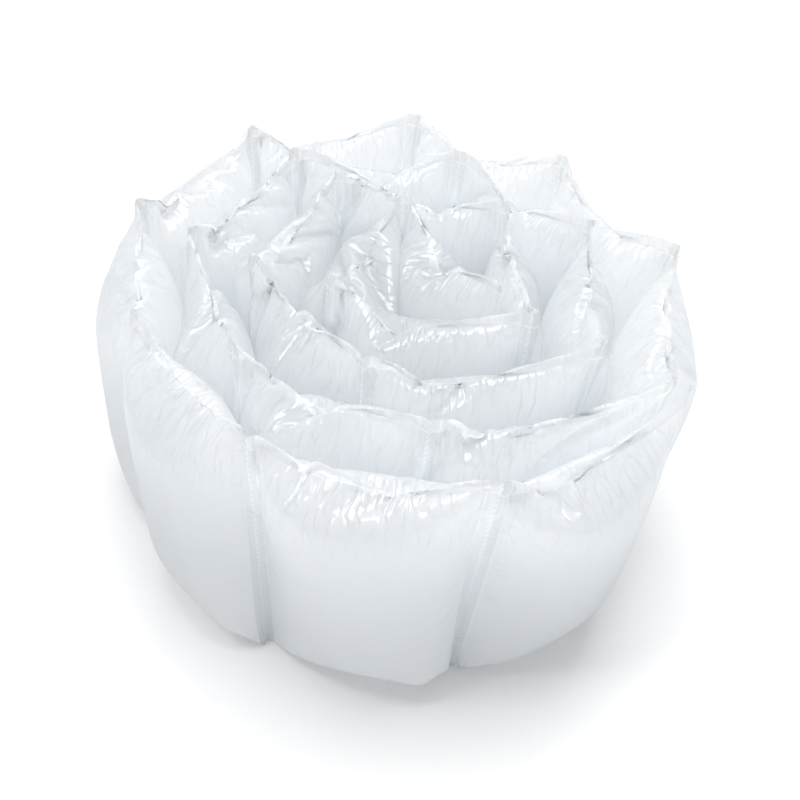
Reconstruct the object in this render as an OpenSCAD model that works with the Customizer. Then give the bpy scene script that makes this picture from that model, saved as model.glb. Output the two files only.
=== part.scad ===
// A roll of air pillow film that is already blown up.
// One long web of sealed film pillows stands on its edge and is coiled up.
// Millimetres, +Z up, standing on z = 0 with the loose outer end at the front right.

/* [Film] */
// height of the film web, from the floor to the corners at the seams
film_height = 200; // [160:5:240]
// length of coiled web from one perforated seam to the next
pillow_pitch = 130; // [124:1:134]
// width of the flat strip between the two welds of a seam
seam_strip = 12.5; // [8:0.5:16]
// how much longer the flat film of a pillow is than the space between its welds, in percent
film_excess = 18; // [15:0.2:19]
// height of the flat skirt above the weld along the top edge
lip_height = 10; // [6:1:14]
// thickness of flat film, two layers with the trapped air between them
film_thickness = 1.0; // [0.8:0.1:1.4]

/* [Coil] */
// number of pillows in the web
pillow_count = 24; // [19:1:24]
// distance from one turn of the coil to the next
turn_pitch = 42; // [38:1:48]
// radius of the seams of the innermost turn
core_radius = 59; // [54:1:66]
// free gap between the pillows of two neighbouring turns
turn_gap = 2.6; // [2.2:0.1:3.4]
// angle at which the loose outer end lies, seen from above
loose_end_angle = -38; // [-60:1:-20]
// how much wider the coil is at the top than at the floor, on the side of the loose end, in percent
flare = 16; // [0:1:18]
// how far the top of the coil is pushed over to the right of its foot
push_over = 15; // [0:1:20]
// how far the coil is drawn out into an oval, from back left to front right, in percent
oval = 9; // [0:1:11]
// how far the coil is swollen towards the back left, in percent
side_swell = 5; // [0:1:7]

/* [Pillow form] */
// how far the top edge of a full pillow sinks below its corners
top_dip = 13; // [6:1:20]
// height below the top weld over which a pillow narrows like a wedge
top_wedge = 45; // [40:1:60]
// height above the floor over which a pillow narrows to its foot
foot_wedge = 40; // [32:1:60]
// half width of the flat foot of a pillow, as a part of its half thickness
foot_part = 0.25; // [0.2:0.01:0.4]
// how far the film corners at the seams lean out or in
corner_lean = 7; // [0:0.5:10]
// how far the skirt swings to and fro along a pillow
lip_swing = 3; // [0:0.5:5]
// depth of the gathers in the film just below the top weld
gather_depth = 2; // [0:0.5:3]

/* [Hidden] */

film_half = film_thickness / 2;
step_sector = 46;                        // angle in which the web changes from one turn to the next
step_start = -77;                        // angle at which that sector begins
eye_radius = 5;                          // clear radius left at the middle of the coil
oval_angle = -64;                        // direction of the long axis of the oval
swell_angle = 123;                       // direction in which the coil is swollen
end_clearance = 4;                       // how far the loose end lies outside the seam under it
lap_swell = 6;                           // how much longer the way of the last pillow is made over the sloping one
end_lag = 4;                             // angle past the loose end at which the pillow under it is free again
end_slope = 3;                           // how fast it swells out there, for each degree
squareness = 0.88;                       // below 1 makes the section of a pillow fuller at its flanks

// The web follows circles that are joined by one sloping pillow in each turn.
// An angle counts on through all turns, anticlockwise and from the inside out.
function ease(x) = x <= 0 ? 0 : x >= 1 ? 1 : x * x * (3 - 2 * x);
function turn_of(a) = floor((a - step_start) / 360);
function sector_part(a) = ((a - step_start) - 360 * turn_of(a)) / step_sector;
function path_radius(a) = core_radius + turn_pitch * (turn_of(a) - 1 + ease(sector_part(a)));

// Seams follow each other at equal lengths of web, beginning at the loose end
// and going inwards. Each step is taken in eight short parts.
top_turn = 4;
outer_angle = loose_end_angle + 360 * top_turn;
outer_radius = core_radius + turn_pitch * (top_turn - 1);
lap_start = step_start + 360 * top_turn;
function lap_part(a) = (a - lap_start) / (outer_angle - lap_start);
function lap_radius(a) = outer_radius + end_clearance * ease(3 * lap_part(a))
    + lap_swell * max(0, sin(180 * lap_part(a)));
function web_radius(a) = a > lap_start ? lap_radius(a) : path_radius(a);
function out_of_round(a) = 1 + oval / 100 * cos(2 * (a - oval_angle)) + side_swell / 100 * cos(a - swell_angle);
function walk(a, parts, length) = parts == 0 ? a
    : walk(a - length / (web_radius(a) * out_of_round(a)) * 180 / PI, parts - 1, length);
seams = [for (k = 0, a = outer_angle; k <= pillow_count;
              k = k + 1, a = walk(a, 8, pillow_pitch / 8)) a];

// Between two seams a pillow swells to both sides of a straight line, a little squarer than an arc.
strip_half = seam_strip / 2;
weld_part = strip_half / pillow_pitch;
flat_film = (pillow_pitch - seam_strip) * (1 + film_excess / 100);
corners = [for (a = seams) web_radius(a) * [cos(a), sin(a)]];
function chord(k) = corners[k + 1] - corners[k];
function space(k) = norm(chord(k)) - seam_strip;
sags = [for (k = [0:pillow_count - 1]) space(k) * sqrt(0.375 * max(0.01, flat_film / space(k) - 1))];
function inside_part(part) = max(0, min(1, (part - weld_part) / (1 - 2 * weld_part)));
function half(k, part) = let (u = inside_part(part)) sags[k] * pow(4 * u * (1 - u), squareness);

// Radii of the inner face, the middle and the outer face of a free pillow at angle a.
function pillow_at(a, k = 0) = k >= pillow_count - 1 || a > seams[k + 1] ? k : pillow_at(a, k + 1);
function free_faces(a) =
    let (k = pillow_at(a),
         ray = [cos(a), sin(a)],
         part = -cross(corners[k], ray) / cross(chord(k), ray),
         r = norm(corners[k] + part * chord(k)),
         h = half(k, part))
    [r - h, r, r + h];

// Full pillows of neighbouring turns press against each other halfway between their free faces.
clearance = film_half + turn_gap / 2;
function contact(a) =
    let (low = free_faces(a), high = free_faces(a + 360))
    max(low[1] + clearance, min(high[1] - clearance, (low[2] + high[0]) / 2));

// Past the loose end the pillow under it swells out again little by little.
end_contact = contact(outer_angle - 360) - turn_gap / 2;
function past_end(a) = max(0, a + 360 - outer_angle - end_lag);
function outer_face(a) = a + 360 <= outer_angle ? contact(a) - turn_gap / 2
    : min(free_faces(a)[2], end_contact + past_end(a) * end_slope);
function inner_face(a) = a - 360 >= seams[pillow_count] ? contact(a - 360) + turn_gap / 2
    : max(eye_radius, free_faces(a)[0]);

// Stations along one pillow, from weld to weld, and heights on its two sides.
stations = [0, 0.05, 0.14, 0.27, 0.42, 0.58, 0.73, 0.86, 0.95, 1];
levels = [0, 0.056, 0.16, 0.34, 0.56, 0.73, 0.83, 0.9, 0.96, 1];
function fullness(u) = pow(max(0, 4 * u * (1 - u)), 0.6);
function top_share(down) = 1 - pow(1 - min(1, down / top_wedge), 1.9);
function foot_share(up) = max(foot_part, 1 - pow(1 - min(1, up / foot_wedge), 2));
function side(z, weld) = min(top_share(weld - z), foot_share(z));
function lean(a) = corner_lean * sin(3 * a + 40);
function swing(u, k) = lip_swing * sin(360 * u * 1.5 + 130 * k) * fullness(u);
function gather(u, v) = v < 0.8 || v == 1 ? 0 : gather_depth * sin(1125 * u) * fullness(u);

// One ring round the web: up the outer side, over the skirt, down the inner side.
function unwrapped(a, near) = a + 360 * round((near - a) / 360);
function ring(k, part, u) =
    let (spot = corners[k] + part * chord(k),
         a = unwrapped(atan2(spot[1], spot[0]), seams[k] + (seams[k + 1] - seams[k]) * part),
         r = norm(spot),
         full = fullness(u),
         out = outer_face(a) - r,
         inn = r - inner_face(a),
         weld = film_height - lip_height - top_dip * pow(full, 1.5),
         tip = weld + lip_height,
         sway = swing(u, k))
    concat(
        [for (v = levels)
            place(a, r, max(film_half, out * side(weld * v, weld) - gather(u, v)), weld * v, full)],
        [place(a, r, film_half + sway, tip, full), place(a, r, sway - film_half, tip, full)],
        [for (i = [len(levels) - 1:-1:0])
            let (v = levels[i])
            place(a, r, -max(film_half, inn * side(weld * v, weld) - gather(u, v)), weld * v, full)]);

// A point at height z, set off from the middle of the web along the radius.
// All turns are widened alike at one angle and height, so they stay clear of each other.
// The top opens out most on the side of the loose end.
function flare_side(a) = pow((1 + cos(a - loose_end_angle)) / 2, 2);
function widening(a, h) = out_of_round(a) * (1 + flare / 100 * flare_side(a) * (h - 0.5));
function place(a, r, offset, z, full) =
    let (h = z / film_height,
         reach = (r + offset) * widening(a, h) + lean(a) * pow(h, 4) * (1 - full))
    [reach * cos(a) + push_over * (h - 0.5), reach * sin(a), z];

// Pillow numbers and places in the pillow of all rings, from the loose end inwards.
function ring_part(u) = weld_part + u * (1 - 2 * weld_part);
all_rings = concat(
    [[0, 0, 0]],
    [for (k = [0:pillow_count - 1]) for (u = stations) [k, ring_part(u), u]],
    [[pillow_count - 1, 1, 0]]);
ring_points = 2 * len(levels) + 2;
raw_points = [for (q = all_rings) each ring(q[0], q[1], q[2])];

// The coil is moved so that its box stands centred on the origin.
xs = [for (p = raw_points) p[0]];
ys = [for (p = raw_points) p[1]];
middle = [(min(xs) + max(xs)) / 2, (min(ys) + max(ys)) / 2, 0];
points = [for (p = raw_points) p - middle];

// Faces between neighbouring rings, and a strip of faces that closes each end.
// Both sides are split along matching diagonals, so that thin film keeps its thickness.
function skin(n, i) =
    let (j = (i + 1) % ring_points,
         p = n * ring_points + i, q = n * ring_points + j,
         s = p + ring_points, t = q + ring_points)
    i < ring_points / 2 ? [[p, s, q], [q, s, t]] : [[p, s, t], [p, t, q]];
function closing(n, turned) =
    [for (i = [0:ring_points / 2 - 2])
        let (p = n * ring_points + i, q = p + 1,
             s = n * ring_points + ring_points - 1 - i, t = s - 1)
        each turned ? [[p, q, s], [q, t, s]] : [[p, s, q], [q, s, t]]];
faces = concat(
    [for (n = [0:len(all_rings) - 2]) for (i = [0:ring_points - 1]) each skin(n, i)],
    closing(0, true),
    closing(len(all_rings) - 1, false));

module pillow_film_web() {
    color([0.93, 0.95, 0.97])
        polyhedron(points = points, faces = faces, convexity = 10);
}

pillow_film_web();
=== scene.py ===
import math

import bpy
import numpy as np
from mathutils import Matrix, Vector


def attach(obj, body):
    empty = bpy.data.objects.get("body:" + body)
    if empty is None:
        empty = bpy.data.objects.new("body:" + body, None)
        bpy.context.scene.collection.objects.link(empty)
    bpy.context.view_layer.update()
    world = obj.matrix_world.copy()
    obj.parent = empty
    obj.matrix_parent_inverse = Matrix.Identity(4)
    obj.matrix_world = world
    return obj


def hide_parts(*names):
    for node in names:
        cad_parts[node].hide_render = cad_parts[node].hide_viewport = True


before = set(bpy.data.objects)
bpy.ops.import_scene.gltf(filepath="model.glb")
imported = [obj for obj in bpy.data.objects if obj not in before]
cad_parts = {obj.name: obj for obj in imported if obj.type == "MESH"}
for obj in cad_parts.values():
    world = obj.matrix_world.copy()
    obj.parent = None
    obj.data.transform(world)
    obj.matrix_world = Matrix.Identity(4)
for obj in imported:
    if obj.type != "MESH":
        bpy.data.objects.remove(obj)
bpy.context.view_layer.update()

# The web of film, as in the CAD source. Lengths in this script are in millimetres
# until a mesh is made, and angles along the web are in degrees.
MM = 0.001
FILM_HEIGHT = 200.0
PILLOW_PITCH = 130.0
SEAM_STRIP = 12.5
LIP_HEIGHT = 10.0
PILLOW_COUNT = 24
TURN_PITCH = 42.0
CORE_RADIUS = 59.0
LOOSE_END_ANGLE = -38.0
FLARE = 0.16
PUSH_OVER = 15.0
OVAL = 0.09
SIDE_SWELL = 0.05
CORNER_LEAN = 7.0
OVAL_ANGLE = -64.0
SWELL_ANGLE = 123.0
STEP_SECTOR = 46.0
STEP_START = -77.0
END_CLEARANCE = 4.0
LAP_SWELL = 6.0
TOP_TURN = 4
# The innermost pillows fill the core between them.
CORE_PILLOWS = 3
# Their fat pillows push the last seams off the circles: seam, angle along the web, distance outwards.
MOVED_SEAMS = [(19, 1.6, 5.0), (20, 0.0, 5.0), (22, -6.0, 0.0), (23, -1.0, 20.0), (24, 15.5, 17.5)]
# Within these lengths of the ends a pillow is a wedge and the film is less tight.
TOP_WEDGE = 46.0
FOOT_WEDGE = 18.0
TOP_SLACK = 50.0
FOOT_SLACK = 14.0
END_TIGHTNESS = 0.15
WELD_PLAY = 0.1
MOST_BULGE = 36.0
PINCHES = 3
PINCH_DEPTH = 1.8
PINCH_WIDTH = 5.0
FOLD_STEP = 9.0
# Distance from one cut of the perforation to the next.
PERFORATION_STEP = 4.6
# The three innermost pillows meet here, seen from the middle of the coil.
CORE_MEETING = (3.0, 1.5)
# So close to the middle of the coil the turns' limits don't count.
CLEAR_MIDDLE = 12.0
# The coil's own middle lies here in the part's frame.
COIL_X = 4.9
COIL_Y = -12.2

# The film itself, lying flat: a pillow is longer and higher before it is blown up.
FLAT_PILLOW = 137.0
PILLOW_HEIGHT = FILM_HEIGHT - LIP_HEIGHT
FLAT_HEIGHT = 195.0
# Below 1 the section of a pillow is fuller at its flanks than an arc.
SQUARENESS = 0.88

OUTER_ANGLE = LOOSE_END_ANGLE + 360.0 * TOP_TURN
OUTER_RADIUS = CORE_RADIUS + TURN_PITCH * (TOP_TURN - 1)
LAP_START = STEP_START + 360.0 * TOP_TURN


# The path of the web, the same functions as in the CAD source.
def ease(x):
    x = np.clip(x, 0.0, 1.0)
    return x * x * (3.0 - 2.0 * x)


def path_radius(a):
    turn = np.floor((a - STEP_START) / 360.0)
    part = (a - STEP_START - 360.0 * turn) / STEP_SECTOR
    return CORE_RADIUS + TURN_PITCH * (turn - 1.0 + ease(part))


def lap_radius(a):
    part = (a - LAP_START) / (OUTER_ANGLE - LAP_START)
    swell = LAP_SWELL * np.maximum(0.0, np.sin(np.pi * part))
    return OUTER_RADIUS + END_CLEARANCE * ease(3.0 * part) + swell


def web_radius(a):
    a = np.asarray(a, float)
    return np.where(a > LAP_START, lap_radius(a), path_radius(a))


def out_of_round(a):
    oval = OVAL * np.cos(np.radians(2.0 * (a - OVAL_ANGLE)))
    return 1.0 + oval + SIDE_SWELL * np.cos(np.radians(a - SWELL_ANGLE))


def flare_side(a):
    return ((1.0 + np.cos(np.radians(a - LOOSE_END_ANGLE))) / 2.0) ** 2


def seam_angles():
    """Angles of all seams, from the loose end inwards, at equal lengths of web."""
    angles, a = [OUTER_ANGLE], OUTER_ANGLE
    for _ in range(PILLOW_COUNT):
        for _ in range(8):
            a -= math.degrees(PILLOW_PITCH / 8 / float(web_radius(a) * out_of_round(a)))
        angles.append(a)
    return np.array(angles)


SEAMS = seam_angles()
SEAM_RADII = np.array(web_radius(SEAMS))
for seam, turned, outwards in MOVED_SEAMS:
    SEAMS[seam] += turned
    SEAM_RADII[seam] += outwards


def to_space(a, reach, z):
    """From angle, plain radius and height to a point of the part's frame."""
    h = z / FILM_HEIGHT
    wide = reach * out_of_round(a) * (1.0 + FLARE * flare_side(a) * (h - 0.5))
    rad = np.radians(a)
    return np.stack([wide * np.cos(rad) + PUSH_OVER * (h - 0.5) + COIL_X, wide * np.sin(rad) + COIL_Y, z + 0.0 * rad])


class Web:
    """The whole web as one grid: columns follow the web, rows go round the pillow and up the skirt."""

    def __init__(self, across, level):
        # across: intervals of a pillow along the web; level doubles the strip's and skirt's intervals
        self.strip = 2 ** max(0, level - 1)
        self.across = across
        self.rows = int(round(PILLOW_HEIGHT / FLAT_PILLOW * across / 2)) * 2
        self.lip = 2 * 2 ** max(0, level - 1)
        self.ring = 2 * self.rows
        self.width = self.ring + self.lip
        self.period = across + 2 * self.strip
        self.columns = PILLOW_COUNT * self.period + 1

        k = np.arange(self.columns)
        self.inside = k % self.period
        self.pillow = np.minimum(k // self.period, PILLOW_COUNT - 1)
        step_strip = SEAM_STRIP / 2 / self.strip
        step_pillow = FLAT_PILLOW / across
        first = self.inside[:-1] < self.strip
        last = self.inside[:-1] >= self.strip + across
        self.du = np.where(first | last, step_strip, step_pillow).astype(np.float32)
        self.dv = FLAT_HEIGHT / self.rows
        self.dl = LIP_HEIGHT / self.lip
        # place in the pillow, 0 at one weld and 1 at the other
        u = (self.inside - self.strip) / across
        u[-1] = 1.0
        self.u = np.clip(u, 0.0, 1.0)
        self.sealed = (self.u <= 0.0) | (self.u >= 1.0)
        part = (self.inside - self.strip) * 1.0
        chord = (PILLOW_PITCH - SEAM_STRIP) / across
        along = np.where(part < 0, self.inside * step_strip,
                         SEAM_STRIP / 2 + np.minimum(part, across) * chord
                         + np.maximum(part - across, 0.0) * step_strip)
        share = along / PILLOW_PITCH
        share[-1] = 1.0
        self.angle = SEAMS[self.pillow] + (SEAMS[self.pillow + 1] - SEAMS[self.pillow]) * share
        # the chord of the pillow in plain polar coordinates
        a0, a1 = np.radians(SEAMS[self.pillow]), np.radians(SEAMS[self.pillow + 1])
        r0, r1 = SEAM_RADII[self.pillow], SEAM_RADII[self.pillow + 1]
        x = r0 * np.cos(a0) * (1 - share) + r1 * np.cos(a1) * share
        y = r0 * np.sin(a0) * (1 - share) + r1 * np.sin(a1) * share
        self.chord_radius = np.hypot(x, y)
        turn = np.degrees(np.arctan2(y, x)) - self.angle
        self.chord_angle = self.angle + (turn + 180.0) % 360.0 - 180.0

    def start(self, thick):
        """Slightly opened film along the chords, as the first state."""
        grid = np.zeros((3, self.columns, self.width), np.float32)
        full = (4.0 * self.u * (1.0 - self.u)) ** 0.7
        j = np.arange(self.ring)
        up = np.where(j <= self.rows, j, self.ring - j) / self.rows
        side = np.where(j <= self.rows, 1.0, -1.0) * np.sqrt(np.clip(1.0 - (2.0 * up - 1.0) ** 4, 0.0, 1.0))
        side[0] = side[self.rows] = 0.0
        a = self.chord_angle[:, None] + 0.0 * up[None, :]
        reach = self.chord_radius[:, None] + thick * full[:, None] * side[None, :]
        z = PILLOW_HEIGHT * up[None, :] * (1.0 - 0.06 * full[:, None]) + 5.0 * full[:, None]
        grid[:, :, :self.ring] = to_space(a, reach, z)
        lift = LIP_HEIGHT * (np.arange(self.lip) + 1) / self.lip
        a = self.chord_angle[:, None] + 0.0 * lift[None, :]
        z = grid[2, :, self.rows][:, None] + lift[None, :]
        grid[:, :, self.ring:] = to_space(a, self.chord_radius[:, None] + 0.0 * lift[None, :], z)
        return grid


def refine(coarse, fine, grid):
    """The same state on a grid with twice the intervals, by smooth interpolation."""
    def stretch(values, old, new, axis):
        low = np.clip(np.searchsorted(old, new, side="right") - 1, 0, len(old) - 2)
        part = ((new - old[low]) / (old[low + 1] - old[low])).astype(np.float32)
        shape = [1, 1, 1]
        shape[axis] = len(new)
        part = part.reshape(shape)
        return np.take(values, low, axis) * (1 - part) + np.take(values, low + 1, axis) * part

    s_old = np.concatenate([[0.0], np.cumsum(coarse.du)])
    s_new = np.concatenate([[0.0], np.cumsum(fine.du)])
    grid = stretch(grid, s_old, s_new, 1)
    ring = np.concatenate([grid[:, :, :coarse.ring], grid[:, :, :1]], 2)
    j_old = np.arange(coarse.ring + 1) / coarse.ring
    j_new = np.arange(fine.ring) / fine.ring
    ring = stretch(ring, j_old, j_new, 2)
    lip = np.concatenate([grid[:, :, coarse.rows:coarse.rows + 1], grid[:, :, coarse.ring:]], 2)
    l_old = np.arange(coarse.lip + 1) / coarse.lip
    l_new = (np.arange(fine.lip) + 1) / fine.lip
    lip = stretch(lip, l_old, l_new, 2)
    return np.ascontiguousarray(np.concatenate([ring, lip], 2), dtype=np.float32)


def natural_faces(web):
    """Radii of the outer and the inner face of freely swollen pillows, over a table of angles."""
    table = np.arange(SEAMS[-1] - 5.0, OUTER_ANGLE + 5.0, 0.5)
    half = np.zeros(web.columns)
    for k in range(PILLOW_COUNT):
        cols = np.nonzero(web.pillow == k)[0]
        a0, a1 = np.radians(SEAMS[k]), np.radians(SEAMS[k + 1])
        r0, r1 = SEAM_RADII[k], SEAM_RADII[k + 1]
        x, y = r0 * math.cos(a0) - r1 * math.cos(a1), r0 * math.sin(a0) - r1 * math.sin(a1)
        chord = math.hypot(x, y) - SEAM_STRIP
        sag = chord * math.sqrt(max(0.01, (FLAT_PILLOW / chord - 1.0) * 0.375))
        half[cols] = sag * (4.0 * web.u[cols] * (1.0 - web.u[cols])) ** SQUARENESS
    order = np.argsort(web.chord_angle)
    angle = web.chord_angle[order]
    outer = np.interp(table, angle, (web.chord_radius + half)[order])
    inner = np.interp(table, angle, (web.chord_radius - half)[order])
    return table, outer, inner


def limits(web):
    """The radii between which each stretch of web has to stay, so that turns touch but don't cross."""
    table, outer, inner = natural_faces(web)
    turn = int(round(360.0 / 0.5))
    high = outer + 60.0
    low = np.full_like(inner, 2.0)
    # between a stretch and the stretch one turn further out
    middle = (outer + inner) / 2.0
    between = (outer[:-turn] + inner[turn:]) / 2.0
    between = np.maximum(middle[:-turn] + 1.0, np.minimum(middle[turn:] - 1.0, between))
    high[:-turn] = between - 0.35
    low[turn:] = between + 0.35
    return table, low, middle, high


def link_ends(count, apart):
    """Both ends of the links of a row of points, in sets in which no point is in two links."""
    for first in range(2 * apart):
        last = first + (count - 1 - apart - first) // (2 * apart) * (2 * apart)
        if last >= first:
            yield slice(first, last + 1, 2 * apart), slice(first + apart, last + apart + 1, 2 * apart)


def shifted(part):
    """The same slice, one step further on."""
    return slice(part.start + 1, part.stop + 1, part.step)


class Film:
    """Position based dynamics of the film on a web's grid."""

    def __init__(self, web, grid, seed, size, deepen=0.0):
        self.web = web
        self.x = grid
        self.v = np.zeros_like(grid)
        self.table, self.low, self.middle, self.high = limits(web)
        self.taper = self.wedge_ends()
        self.round_table = out_of_round(self.table).astype(np.float32)
        self.flare_table = flare_side(self.table).astype(np.float32)
        self.pins = self.pin_targets()
        self.ramp = self.slack_ends()
        self.crinkle(np.random.default_rng(seed), size, deepen)

    def wedge_ends(self):
        """How far each row may leave the middle surface: the ends of a pillow are wedges."""
        web = self.web
        j = np.arange(web.width)
        up = np.where(j <= web.rows, j, web.ring - j) / web.rows * PILLOW_HEIGHT
        up = np.where(j >= web.ring, PILLOW_HEIGHT, up)
        top = np.clip((PILLOW_HEIGHT - up) / TOP_WEDGE, 0.0, 1.0)
        foot = np.clip(up / FOOT_WEDGE, 0.0, 1.0)
        share = np.minimum(1.0 - (1.0 - top) ** 1.25, 1.0 - (1.0 - foot) ** 2.2)
        return (WELD_PLAY + (1.0 - WELD_PLAY) * share).astype(np.float32)[None, :]

    def slack_ends(self):
        """A soft pillow is less tight towards its ends, which makes them wedges."""
        web = self.web
        j = np.arange(web.ring)
        up = np.where(j <= web.rows, j, web.ring - j) / web.rows * PILLOW_HEIGHT
        top = ease((PILLOW_HEIGHT - up) / TOP_SLACK)
        foot = ease(up / FOOT_SLACK)
        return (END_TIGHTNESS + (1.0 - END_TIGHTNESS) * top * foot).astype(np.float32)[None, :]

    def pin_targets(self):
        """Where the middle line of each seam strip is held."""
        web = self.web
        cols = np.arange(0, web.columns, web.period)
        a = SEAMS[:, None]
        j = np.arange(web.width)
        up = np.where(j <= web.rows, j, web.ring - j) / web.rows * PILLOW_HEIGHT
        up = np.where(j >= web.ring, PILLOW_HEIGHT + (j - web.ring + 1) * web.dl, up)[None, :]
        target = to_space(a + 0.0 * up, SEAM_RADII[:, None] + 0.0 * up, up + 0.0 * a)
        lean = CORNER_LEAN * np.sin(np.radians(3.0 * a + 40.0)) * (up / FILM_HEIGHT) ** 4
        target[0] += lean * np.cos(np.radians(a))
        target[1] += lean * np.sin(np.radians(a))
        return cols, target.astype(np.float32)

    def pull(self, a, b, rest, stiff, slack=1.0):
        """Moves the ends of the links between two sets of points towards their length at rest."""
        d = b - a
        length = np.sqrt(d[0] * d[0] + d[1] * d[1] + d[2] * d[2]) + 1e-6
        off = (length - rest) / length
        off = np.where(off < 0.0, off * (0.5 * stiff * slack), off * (0.5 * stiff))
        d *= off
        a += d
        b -= d

    def links(self, push, bend):
        """One pass over all links of the film: along it, up it, over the diagonals and against sharp folds."""
        web, x = self.web, self.x
        rows, ring = web.rows, web.ring
        du, dv, dl = web.du, web.dv, web.dl
        body, skirt = x[:, :, :ring], x[:, :, ring:]
        for low, high in link_ends(web.columns, 1):
            self.pull(x[:, low], x[:, high], du[low, None], 1.0, push)
        for low, high in link_ends(ring, 1):
            self.pull(body[:, :, low], body[:, :, high], dv, 1.0, push)
        self.pull(x[:, :, ring - 1], x[:, :, 0], dv, 1.0, push)
        # the skirt hangs on the upper weld
        self.pull(x[:, :, rows], x[:, :, ring], dl, 1.0, push)
        for low, high in link_ends(web.lip, 1):
            self.pull(skirt[:, :, low], skirt[:, :, high], dl, 1.0, push)
        for part, step in ((body, dv), (skirt, dl)):
            for low, high in link_ends(web.columns, 1):
                rest = np.sqrt(du[low, None] ** 2 + step * step)
                self.pull(part[:, low, :-1], part[:, high, 1:], rest, 0.5, push)
                self.pull(part[:, low, 1:], part[:, high, :-1], rest, 0.5, push)
        for low, high in link_ends(web.columns, 2):
            self.stiffen(x[:, low], x[:, high], (du[low] + du[shifted(low)])[:, None], bend)
        for low, high in link_ends(rows, 2):
            for face in (x[:, :, :rows], x[:, :, rows:ring]):
                self.stiffen(face[:, :, low], face[:, :, high], 2.0 * dv, bend)

    def stiffen(self, a, b, rest, bend):
        """Bending stiffness: points two steps apart resist coming closer."""
        d = b - a
        length = np.sqrt(d[0] * d[0] + d[1] * d[1] + d[2] * d[2]) + 1e-6
        off = np.minimum(0.0, (length - rest) / length) * (0.5 * bend)
        d *= off
        a += d
        b -= d

    def weld(self):
        """Outer and inner film are one sheet between the welds of a seam."""
        web, x = self.web, self.x
        rows, ring = web.rows, web.ring
        cols = np.nonzero(web.sealed)[0]
        outer = x[:, cols, 1:rows]
        inner = x[:, cols, ring - 1:rows:-1]
        middle = (outer + inner) * 0.5
        x[:, cols, 1:rows] = middle
        x[:, cols, ring - 1:rows:-1] = middle

    def press(self, pressure, gravity):
        """Air pressure on the pillows, along the outward normals."""
        web, x, v = self.web, self.x, self.v
        ring = web.ring
        along = np.empty((3, web.columns, ring), np.float32)
        along[:, 1:-1] = x[:, 2:, :ring] - x[:, :-2, :ring]
        along[:, 0] = along[:, 1]
        along[:, -1] = along[:, -2]
        body = x[:, :, :ring]
        up = np.roll(body, -1, 2) - np.roll(body, 1, 2)
        share = self.ramp * (pressure / (4.0 * web.dv * web.du.max())) * (~web.sealed)[:, None]
        v[0, :, :ring] += (up[1] * along[2] - up[2] * along[1]) * share
        v[1, :, :ring] += (up[2] * along[0] - up[0] * along[2]) * share
        v[2, :, :ring] += (up[0] * along[1] - up[1] * along[0]) * share
        v[2] -= gravity

    def hold(self, grip):
        """Seams are held near their places, and all stands on the floor."""
        web, x = self.web, self.x
        cols, target = self.pins
        x[:, cols] += (target - x[:, cols]) * grip
        np.maximum(x[2], 0.0, out=x[2])

    def confine(self):
        web, x = self.web, self.x
        h = x[2] / FILM_HEIGHT
        px = x[0] - COIL_X - PUSH_OVER * (h - 0.5)
        py = x[1] - COIL_Y
        reach = np.sqrt(px * px + py * py) + 1e-3
        a = np.degrees(np.arctan2(py, px))
        base = web.chord_angle[:, None].astype(np.float32)
        turn = a - base
        a = base + (turn - 360.0 * np.round(turn / 360.0))
        spot = (a - self.table[0]) / 0.5
        low_i = np.clip(spot.astype(np.int32), 0, len(self.table) - 2)
        part = np.clip(spot - low_i, 0.0, 1.0)
        wide = self.round_table[low_i] * (1.0 + FLARE * self.flare_table[low_i] * (h - 0.5))
        middle = self.middle[low_i] * (1 - part) + self.middle[low_i + 1] * part
        low = self.low[low_i] * (1 - part) + self.low[low_i + 1] * part
        high = self.high[low_i] * (1 - part) + self.high[low_i + 1] * part
        low = (middle + (low - middle) * self.taper) * wide
        high = (middle + (np.minimum(high, middle + MOST_BULGE) - middle) * self.taper) * wide
        want = reach + (np.clip(reach, low, high) - reach) * 0.6
        want = np.where(reach < CLEAR_MIDDLE, reach, want)
        scale = (want / reach).astype(np.float32)
        x[0] = px * scale + COIL_X + PUSH_OVER * (h - 0.5)
        x[1] = py * scale + COIL_Y

    def part_core(self):
        """In the core, each pillow stays between the lines from the meeting point to its seams."""
        web, x = self.web, self.x
        for k in range(PILLOW_COUNT - CORE_PILLOWS, PILLOW_COUNT):
            cols = slice(k * web.period + web.strip + 1, (k + 1) * web.period - web.strip)
            shift = CORE_MEETING[0] + COIL_X + PUSH_OVER * (x[2, cols] / FILM_HEIGHT - 0.5)
            for seam, way in ((k, 1.0), (k + 1, -1.0)):
                corner = to_space(SEAMS[seam], SEAM_RADII[seam], FILM_HEIGHT / 2)
                dx = corner[0] - COIL_X - CORE_MEETING[0]
                dy = corner[1] - COIL_Y - CORE_MEETING[1]
                nx, ny = way * dy / math.hypot(dx, dy), -way * dx / math.hypot(dx, dy)
                inside = (x[0, cols] - shift) * nx + (x[1, cols] - COIL_Y - CORE_MEETING[1]) * ny
                short = np.maximum(0.0, 0.3 - inside)
                x[0, cols] += short * nx
                x[1, cols] += short * ny

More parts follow.
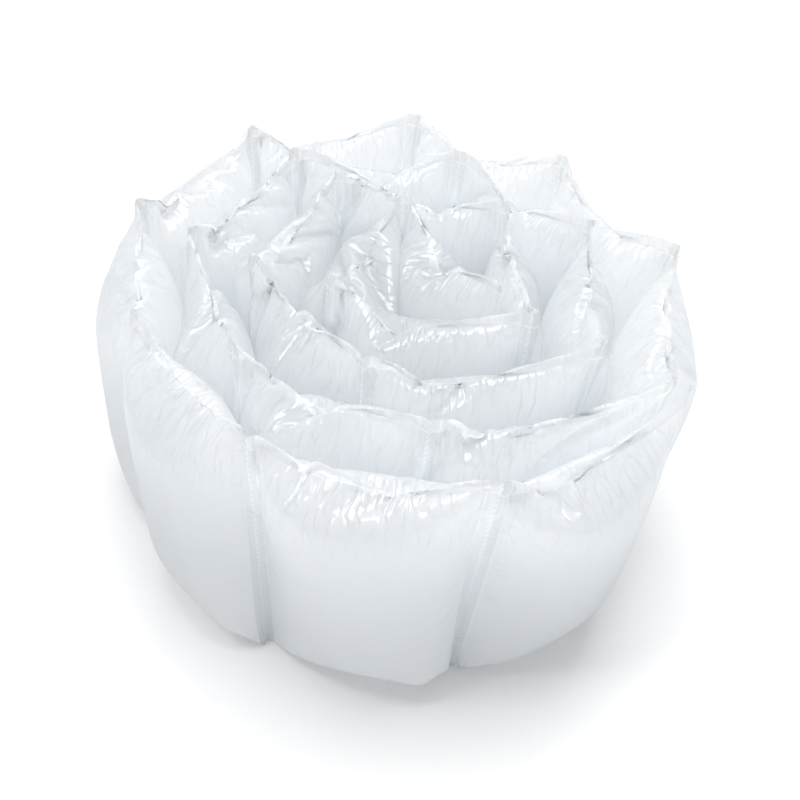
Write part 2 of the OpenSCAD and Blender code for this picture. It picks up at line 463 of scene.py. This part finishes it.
    def crinkle(self, rng, size, deepen):
        """Small folds to start from, which cross the welds and fade out down the faces."""
        web, x = self.web, self.x
        j = np.arange(web.width)
        up = np.where(j <= web.rows, j, web.ring - j) / web.rows * PILLOW_HEIGHT
        up = np.where(j >= web.ring, PILLOW_HEIGHT, up)
        along = np.concatenate([[0.0], np.cumsum(web.du)])
        knots = np.arange(0.0, along[-1] + FOLD_STEP, FOLD_STEP)
        noise = [np.interp(along, knots, rng.normal(0.0, 1.0, len(knots)))[:, None] for _ in range(4)]
        back = ((j > web.rows) & (j < web.ring))[None, :]
        top = np.where(back, noise[0], noise[1]) * np.exp(-((PILLOW_HEIGHT - up - 18.0) / 24.0) ** 2)
        foot = np.where(back, noise[2], noise[3]) * np.exp(-((up - 12.0) / 20.0) ** 2)
        fold = size * (top + foot) + 0.1 * rng.normal(0.0, 1.0, top.shape)
        pinch = np.zeros(web.columns)
        for k in range(PILLOW_COUNT - CORE_PILLOWS):
            for _ in range(PINCHES):
                at, deep = rng.uniform(0.12, 0.88), rng.uniform(-1.0, 1.0) * PINCH_DEPTH
                near = (web.pillow == k) * np.exp(-((web.u - at) * FLAT_PILLOW / PINCH_WIDTH) ** 2)
                pinch += deep * near
        fold += deepen * pinch[:, None] * np.exp((up - PILLOW_HEIGHT) / 22.0)
        fold *= (~web.sealed)[:, None]
        rad = np.radians(web.angle)[:, None]
        x[0] += (fold * np.cos(rad)).astype(np.float32)
        x[1] += (fold * np.sin(rad)).astype(np.float32)

    def run(self, steps, pressure, push, bend=0.05, damp=0.96, gravity=0.0001, grip=0.3):
        for _ in range(steps):
            self.v *= damp
            self.press(pressure, gravity)
            before = self.x.copy()
            self.x += self.v
            self.links(push, bend)
            self.weld()
            self.confine()
            self.part_core()
            self.hold(grip)
            self.v = self.x - before


def blown_up_web():
    """The web after it has been blown up, from a coarse grid to the fine one."""
    coarse = Web(12, 0)
    film = Film(coarse, coarse.start(12.0), 1, 0.3)
    film.run(400, 0.04, 0.03)
    middle = Web(24, 1)
    film = Film(middle, refine(coarse, middle, film.x), 2, 2.0, 1.0)
    film.run(350, 0.012, 0.3)
    fine = Web(48, 2)
    film = Film(fine, refine(middle, fine, film.x), 3, 2.0)
    film.run(350, 0.004, 0.6, bend=0.02)
    return fine, film.x


def sheet_quads(columns, rows, first):
    """Quads of a grid of points that is stored column by column, from the point numbered first."""
    low = (np.arange(columns - 1)[:, None] * rows + np.arange(rows - 1)[None, :]).ravel() + first
    return np.stack([low, low + rows, low + rows + 1, low + 1], -1)


def film_sheets(web, grid, along, first, last):
    """The sheets of film of the pillows from first to last: outer film with the seams, skirt, inner films."""
    start, end = first * web.period, last * web.period + 1
    cut = grid[:, start:end]
    length = along[start:end]
    up = np.arange(web.rows + 1) * web.dv
    yield cut[:, :, :web.rows + 1], length, up
    skirt = np.concatenate([cut[:, :, web.rows:web.rows + 1], cut[:, :, web.ring:]], 2)
    yield skirt, length, FLAT_HEIGHT + np.arange(web.lip + 1) * web.dl
    for k in range(last - first):
        low = k * web.period + web.strip
        high = low + web.across + 1
        inner = np.concatenate([cut[:, low:high, web.rows:web.ring], cut[:, low:high, :1]], 2)
        yield inner, length[low:high], up[::-1]


def make_piece(name, web, grid, first, last, material):
    """One stretch of the web as a mesh. Its map holds the place on the flat film, in metres."""
    along = np.concatenate([[0.0], np.cumsum(web.du)])
    points, places, quads, count = [], [], [], 0
    for sheet, length, up in film_sheets(web, grid, along, first, last):
        columns, rows = sheet.shape[1:]
        points.append(sheet.transpose(1, 2, 0).reshape(-1, 3))
        places.append(np.stack(np.broadcast_arrays(length[:, None], up[None, :]), -1).reshape(-1, 2))
        quads.append(sheet_quads(columns, rows, count))
        count += columns * rows
    points = np.concatenate(points) * MM
    places = np.concatenate(places) * MM
    quads = np.concatenate(quads)
    mesh = bpy.data.meshes.new(name)
    mesh.vertices.add(count)
    mesh.vertices.foreach_set("co", points.astype(np.float32).ravel())
    mesh.loops.add(quads.size)
    mesh.loops.foreach_set("vertex_index", quads.astype(np.int32).ravel())
    mesh.polygons.add(len(quads))
    mesh.polygons.foreach_set("loop_start", np.arange(0, quads.size, 4, dtype=np.int32))
    mesh.polygons.foreach_set("use_smooth", np.ones(len(quads), bool))
    flat_map = mesh.uv_layers.new(name="film")
    flat_map.data.foreach_set("uv", places[quads.ravel()].astype(np.float32).ravel())
    mesh.update(calc_edges=True)
    mesh.materials.append(material)
    piece = bpy.data.objects.new(name, mesh)
    bpy.context.scene.collection.objects.link(piece)
    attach(piece, "root")
    return piece


class Shader:
    """Short names for the nodes of one material."""

    def __init__(self, name):
        self.material = bpy.data.materials.new(name)
        self.material.use_nodes = True
        self.nodes = self.material.node_tree.nodes
        self.wires = self.material.node_tree.links
        self.nodes.clear()

    def node(self, kind, inputs=(), **settings):
        made = self.nodes.new(kind)
        for key, value in settings.items():
            setattr(made, key, value)
        for slot, value in dict(inputs).items():
            if isinstance(value, bpy.types.NodeSocket):
                self.wires.new(value, made.inputs[slot])
            else:
                made.inputs[slot].default_value = value
        return made

    def math(self, operation, first, second=0.0, third=0.0):
        made = self.node("ShaderNodeMath", {0: first, 1: second, 2: third}, operation=operation)
        return made.outputs[0]

    def step(self, value, low, high, out_low=0.0, out_high=1.0):
        """A smooth change from out_low to out_high while value goes from low to high."""
        inputs = {"Value": value, "From Min": low, "From Max": high, "To Min": out_low, "To Max": out_high}
        return self.node("ShaderNodeMapRange", inputs, interpolation_type="SMOOTHSTEP").outputs[0]

    def noise(self, place, scale, detail=3.0, rough=0.55, distortion=0.0):
        inputs = {"Vector": place, "Scale": scale, "Detail": detail, "Roughness": rough, "Distortion": distortion}
        return self.node("ShaderNodeTexNoise", inputs).outputs[0]

    def creases(self, place, along, up, width):
        """Thin lines that run through the film, 1 on a line and 0 away from it."""
        noise = self.noise(self.stretch(place, along, up), 1.0, 1.0, 0.6)
        off = self.math("ABSOLUTE", self.math("SUBTRACT", noise, 0.5))
        return self.step(off, width, 0.0)

    def stretch(self, place, along, up):
        """The place on the flat film with other scales along and up."""
        made = self.node("ShaderNodeMapping", {"Vector": place, "Scale": (along, up, 1.0)})
        return made.outputs[0]


FILM_LENGTH = FLAT_PILLOW + SEAM_STRIP


def film_material():
    """Thin milky film: part of the light is scattered back and part comes through."""
    s = Shader("milky_film")
    place = s.node("ShaderNodeUVMap", uv_map="film").outputs[0]
    parts = s.node("ShaderNodeSeparateXYZ", {0: place})
    along = s.math("MULTIPLY", parts.outputs[0], 1000.0)
    up = s.math("MULTIPLY", parts.outputs[1], 1000.0)
    off_seam = s.math("PINGPONG", along, FILM_LENGTH / 2.0)

    # marks of the heat: both welds of a seam, the long weld under the skirt, and the perforation
    weld = s.math("COMPARE", off_seam, SEAM_STRIP / 2.0, 0.6)
    long_weld = s.math("COMPARE", up, FLAT_HEIGHT, 0.7)
    # painted shade: the seam strip between the welds is coloured darker, for the dark gap between the pillows that
    # shows through the thin strip
    strip = s.step(off_seam, SEAM_STRIP / 2.0, SEAM_STRIP / 2.0 - 1.0)
    slant = s.math("ADD", s.math("MULTIPLY", up, 1.0 / PERFORATION_STEP), s.math("MULTIPLY", along, 0.35))
    dash = s.math("LESS_THAN", s.math("FRACT", slant), 0.6)
    cut = s.math("MULTIPLY", dash, s.math("LESS_THAN", off_seam, 1.0))
    marks = s.math("MAXIMUM", s.math("MAXIMUM", weld, long_weld), cut)

    # crinkles: across the welds at top and foot, level creases beside the seams, and a fine grain all over
    top = s.step(up, 125.0, 185.0)
    foot = s.step(up, 35.0, 5.0)
    beside = s.step(off_seam, 26.0, 6.0)
    fold = s.creases(place, 140.0, 38.0, 0.1)
    crease = s.creases(place, 22.0, 75.0, 0.07)
    grain = s.noise(s.stretch(place, 70.0, 40.0), 1.0, 1.0, 0.6)
    patchy = s.step(grain, 0.45, 0.65)
    ends = s.math("MAXIMUM", top, foot)
    height = s.math("MULTIPLY", fold, s.math("MULTIPLY", ends, 0.8))
    height = s.math("ADD", height, s.math("MULTIPLY", crease, s.math("MULTIPLY", beside, s.math("MULTIPLY", patchy, 0.5))))
    height = s.math("ADD", height, s.math("MULTIPLY", grain, s.math("ADD", ends, 0.3)))
    height = s.math("ADD", height, s.math("MULTIPLY", marks, 0.25))
    bump = s.node("ShaderNodeBump", {"Height": height, "Strength": 0.75, "Distance": 0.0013}).outputs[0]

    cloud = s.noise(s.stretch(place, 14.0, 14.0), 1.0, 2.0, 0.6)
    tint = s.node("ShaderNodeMix", {0: cloud, 6: (0.945, 0.962, 0.976, 1.0), 7: (0.978, 0.986, 0.993, 1.0)}, data_type="RGBA")
    # the film's tint with the painted shade on the seam strips
    seam_shaded_tint = s.node("ShaderNodeMix", {0: strip, 6: tint.outputs[2], 7: (0.87, 0.90, 0.92, 1.0)}, data_type="RGBA")
    marked = {0: marks, 6: seam_shaded_tint.outputs[2], 7: (0.995, 0.997, 0.999, 1.0)}
    bright = s.node("ShaderNodeMix", marked, data_type="RGBA").outputs[2]
    rough = s.step(cloud, 0.3, 0.7, 0.19, 0.26)

    skin = s.node("ShaderNodeBsdfPrincipled", {"Base Color": bright, "Roughness": rough, "Normal": bump,
                                               "Specular IOR Level": 0.4})
    through = s.node("ShaderNodeBsdfTranslucent", {"Color": bright})
    milk = s.node("ShaderNodeMixShader", {0: 0.72, 1: skin.outputs[0], 2: through.outputs[0]})
    gloss = s.node("ShaderNodeBsdfGlossy", {"Roughness": rough, "Normal": bump})
    near = s.node("ShaderNodeMixShader", {0: 0.08, 1: milk.outputs[0], 2: gloss.outputs[0]})

    # light that has met the film before only sees its even tone, which saves time
    depth = s.node("ShaderNodeLightPath").outputs["Ray Depth"]
    even = (0.955, 0.968, 0.980, 1.0)
    back = s.node("ShaderNodeBsdfDiffuse", {"Color": even})
    onward = s.node("ShaderNodeBsdfTranslucent", {"Color": even})
    far = s.node("ShaderNodeMixShader", {0: 0.66, 1: back.outputs[0], 2: onward.outputs[0]})
    late = s.math("GREATER_THAN", depth, 0.5)
    mix = s.node("ShaderNodeMixShader", {0: late, 1: near.outputs[0], 2: far.outputs[0]})
    s.node("ShaderNodeOutputMaterial", {"Surface": mix.outputs[0]})
    return s.material


def floor_material():
    s = Shader("white_floor")
    cloud = s.noise(s.node("ShaderNodeTexCoord").outputs["Object"], 3.0)
    rough = s.step(cloud, 0.3, 0.7, 0.8, 0.95)
    skin = s.node("ShaderNodeBsdfPrincipled", {"Base Color": (0.93, 0.93, 0.93, 1.0), "Roughness": rough,
                                               "Specular IOR Level": 0.2})
    s.node("ShaderNodeOutputMaterial", {"Surface": skin.outputs[0]})
    return s.material


def add_floor():
    bpy.ops.mesh.primitive_plane_add(size=8.0, location=(0.0, 0.0, -0.0005))
    floor = bpy.context.object
    floor.name = "floor"
    floor.data.materials.append(floor_material())


def add_area(name, place, target, size, power):
    lamp = bpy.data.lights.new(name, "AREA")
    lamp.shape = "SQUARE"
    lamp.size = size
    lamp.energy = power
    ob = bpy.data.objects.new(name, lamp)
    ob.location = place
    ob.rotation_euler = (Vector(target) - Vector(place)).to_track_quat("-Z", "Y").to_euler()
    bpy.context.scene.collection.objects.link(ob)


def add_light():
    world = bpy.data.worlds.new("studio")
    bpy.context.scene.world = world
    world.use_nodes = True
    sky = world.node_tree.nodes["Background"]
    sky.inputs["Color"].default_value = (1.0, 1.0, 1.0, 1.0)
    sky.inputs["Strength"].default_value = 0.62
    add_area("overhead", (0.1, 0.2, 2.0), (0, 0, 0.1), 1.2, 23.5)
    add_area("key", (-0.6, -0.4, 1.6), (0, 0, 0.1), 0.35, 5.0)
    add_area("rim", (0.7, 1.1, 1.3), (0, 0, 0.1), 0.5, 5.0)


# The photograph was taken from the front and above.
CAMERA_PITCH = 41.9
CAMERA_LENS = 45.07
CAMERA_FROM_COIL = (7.5, -540.3, 559.9)


def add_camera():
    lens = bpy.data.cameras.new("camera")
    lens.sensor_width = 36.0
    lens.lens = CAMERA_LENS
    camera = bpy.data.objects.new("camera", lens)
    x = CAMERA_FROM_COIL[0] + COIL_X
    y = CAMERA_FROM_COIL[1] + COIL_Y
    camera.location = (x * MM, y * MM, CAMERA_FROM_COIL[2] * MM)
    camera.rotation_euler = (math.radians(90.0 - CAMERA_PITCH), 0.0, 0.0)
    bpy.context.scene.collection.objects.link(camera)
    bpy.context.scene.camera = camera


web, grid = blown_up_web()
film = film_material()
pieces = []
for number, (start, end) in enumerate([(0, 9), (9, 17), (17, PILLOW_COUNT)]):
    pieces.append(make_piece("film_turn_%d" % number, web, grid, start, end, film))
for piece in pieces:
    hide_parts("pillow_film_web")
add_floor()
add_light()
add_camera()
bpy.context.scene.view_settings.view_transform = "Standard"
